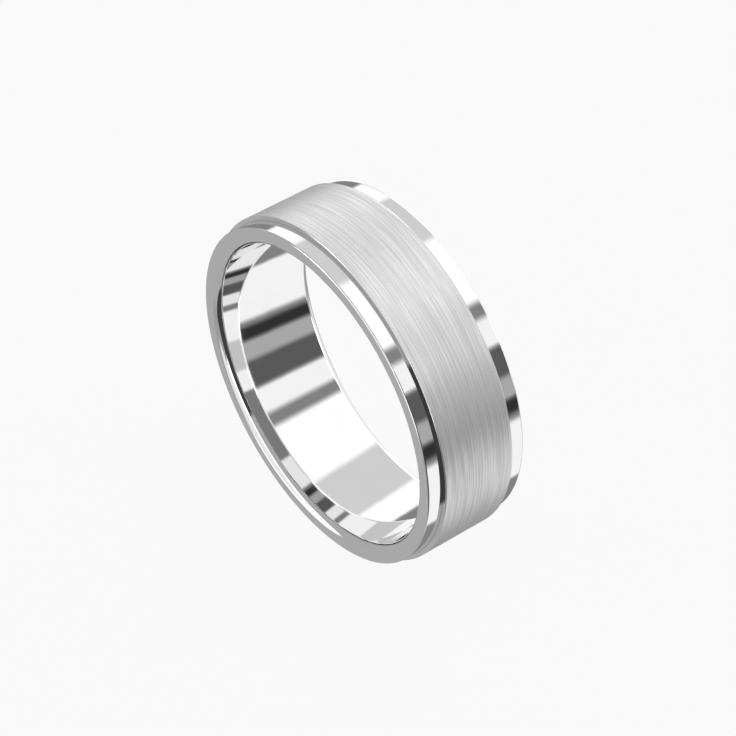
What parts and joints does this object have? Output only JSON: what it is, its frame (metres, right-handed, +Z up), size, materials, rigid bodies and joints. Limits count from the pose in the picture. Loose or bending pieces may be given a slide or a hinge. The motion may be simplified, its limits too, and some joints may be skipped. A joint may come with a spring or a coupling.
{
  "type": "wedding band",
  "caption": "Flat wedding band with a raised brushed centre, polished stepped shoulders and a comfort-fit bore.",
  "frame": {"origin": "centre of the finger bore, halfway along it", "axes": "+Y along the finger axis through the band, +Z up with the band standing on its tread, +X to the right"},
  "size_m": [0.0224, 0.007, 0.0224],
  "materials": {
    "polished_band": "mirror-polished white metal",
    "solder": "white solder, polished flush with the step",
    "brushed_centre": "white metal, brushed round the band"
  },
  "bodies": {
    "root": {"inner_band": "polished_band", "solder_film": "solder", "centre_sleeve": "brushed_centre"}
  },
  "joints": []
}
